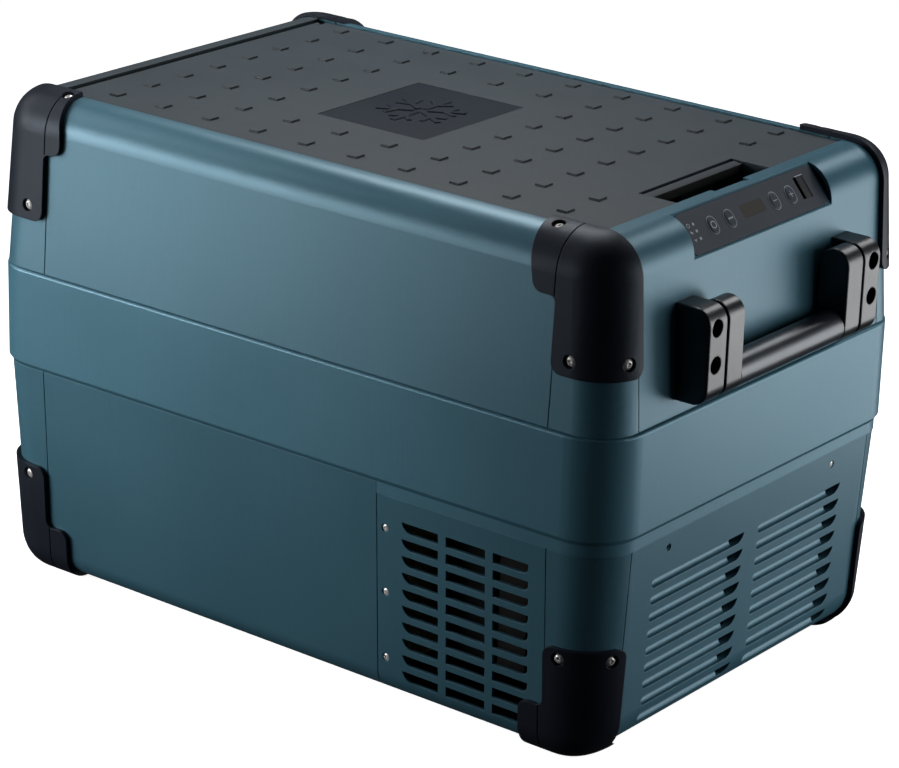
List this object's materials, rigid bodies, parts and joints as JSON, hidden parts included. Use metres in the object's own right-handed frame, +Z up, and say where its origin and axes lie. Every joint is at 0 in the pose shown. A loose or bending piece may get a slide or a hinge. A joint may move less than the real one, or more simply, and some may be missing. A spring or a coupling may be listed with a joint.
{
  "type": "compressor cooler fridge",
  "caption": "Portable compressor cooler: insulated box with hinged lid, sunk control panel, drop handle at each end, corner guards and vented machine bay.",
  "frame": {"origin": "on the floor, under the middle of the box", "axes": "+Z up, +X to the control panel end, -Y to the long side called front, which carries one of the two vent panels"},
  "size_m": [0.665, 0.398, 0.4084],
  "materials": {
    "teal_paint": "satin textured teal paint",
    "teal_band": "satin teal moulding",
    "guard_black": "satin black plastic",
    "base_black": "matt black",
    "lid_grey": "fine grained dark grey",
    "emblem": "smooth dark slate",
    "stainless": "bright stainless",
    "handle_black": "satin gloss black",
    "grip_black": "satin gloss black",
    "black_steel": "black oxide",
    "fascia": "matt charcoal",
    "button": "satin charcoal",
    "display": "smoked amber window",
    "led": "pale translucent lens",
    "socket_black": "black moulding",
    "circuit": "green board",
    "liner_white": "smooth light grey liner",
    "foam": "rigid foam",
    "gasket": "soft seal",
    "copper": "copper tube",
    "compressor_black": "black enamel",
    "aluminium": "plain fins",
    "basket_wire": "plated wire"
  },
  "bodies": {
    "root": {"upper_side_panels": "teal_paint", "upper_end_panel_control": "teal_paint", "upper_end_panel_hinge": "teal_paint", "upper_corner_posts": "teal_paint", "lower_side_panels": "teal_paint", "lower_end_panel_hinge": "teal_paint", "lower_corner_posts": "teal_paint", "side_vent_panels": "teal_paint", "end_louvre_panel": "teal_paint", "belt_band": "teal_band", "upper_corner_guards": "guard_black", "lower_corner_guards": "guard_black", "base_tray": "base_black", "fan_frame": "base_black", "hinge_cover": "lid_grey", "guard_screws": "stainless", "vent_screws": "stainless", "hinge_pins": "stainless", "latch_striker": "stainless", "handle_pivot_pins": "stainless", "handle_mounts": "handle_black", "handle_mount_screws": "black_steel", "control_fascia": "fascia", "display_window": "display", "status_leds": "led", "interior_lamp": "led", "usb_socket": "socket_black", "dc_inlet": "socket_black", "ac_inlet": "socket_black", "control_board": "circuit", "inner_liner": "liner_white", "rim_collar": "liner_white", "foam_insulation": "foam", "compressor_grommets": "gasket", "evaporator_coil": "copper", "refrigerant_pipes": "copper", "filter_drier": "copper", "compressor": "compressor_black", "condenser": "aluminium", "power_module": "aluminium", "wire_basket": "basket_wire"},
    "lid": {"lid_shell": "lid_grey", "lid_liner": "liner_white", "lid_foam": "foam", "lid_gasket": "gasket", "emblem_plate": "emblem", "latch_pin": "stainless", "latch_spring": "stainless"},
    "latch": {"latch_lever": "lid_grey"},
    "fan": {"fan_rotor": "base_black"},
    "power_key": {"button_power": "button"},
    "set_key": {"button_set": "button"},
    "minus_key": {"button_minus": "button"},
    "plus_key": {"button_plus": "button"},
    "usb_flap": {"usb_cover": "button"},
    "handle_control": {"handle_arms_control": "handle_black", "handle_grip_control": "grip_black"},
    "handle_hinge_end": {"handle_arms_hinge": "handle_black", "handle_grip_hinge": "grip_black"}
  },
  "joints": [
    {"name": "lid_hinge", "type": "hinge", "parent": "root", "child": "lid", "pos_m": [-0.2615, 0, 0.3986], "axis": [0, -1, 0], "range_deg": [0, 90]},
    {"name": "latch_lift", "type": "hinge", "parent": "lid", "child": "latch", "pos_m": [0.2315, 0, 0.399], "axis": [0, -1, 0], "range_deg": [0, 18], "stiffness_Nm_per_rad": 0.4, "springref_deg": -5.73},
    {"name": "fan_spin", "type": "hinge", "parent": "root", "child": "fan", "pos_m": [0.1925, -0.094, 0.0922], "axis": [1, 0, 0], "continuous": true},
    {"name": "power_press", "type": "slide", "parent": "root", "child": "power_key", "axis": [-0.7716, 0, -0.6361], "range_m": [0, 0.0008], "stiffness_N_per_m": 800},
    {"name": "set_press", "type": "slide", "parent": "root", "child": "set_key", "axis": [-0.7716, 0, -0.6361], "range_m": [0, 0.0008], "stiffness_N_per_m": 800},
    {"name": "minus_press", "type": "slide", "parent": "root", "child": "minus_key", "axis": [-0.7716, 0, -0.6361], "range_m": [0, 0.0008], "stiffness_N_per_m": 800},
    {"name": "plus_press", "type": "slide", "parent": "root", "child": "plus_key", "axis": [-0.7716, 0, -0.6361], "range_m": [0, 0.0008], "stiffness_N_per_m": 800},
    {"name": "usb_flap_hinge", "type": "hinge", "parent": "root", "child": "usb_flap", "pos_m": [0.28835, 0.0739, 0.3892], "axis": [-0.6361, 0, 0.7716], "range_deg": [0, 100]},
    {"name": "control_handle_swing", "type": "hinge", "parent": "root", "child": "handle_control", "pos_m": [0.3195, 0, 0.3362], "axis": [0, -1, 0], "range_deg": [0, 110]},
    {"name": "hinge_end_handle_swing", "type": "hinge", "parent": "root", "child": "handle_hinge_end", "pos_m": [-0.3195, 0, 0.3362], "axis": [0, 1, 0], "range_deg": [0, 110]}
  ]
}
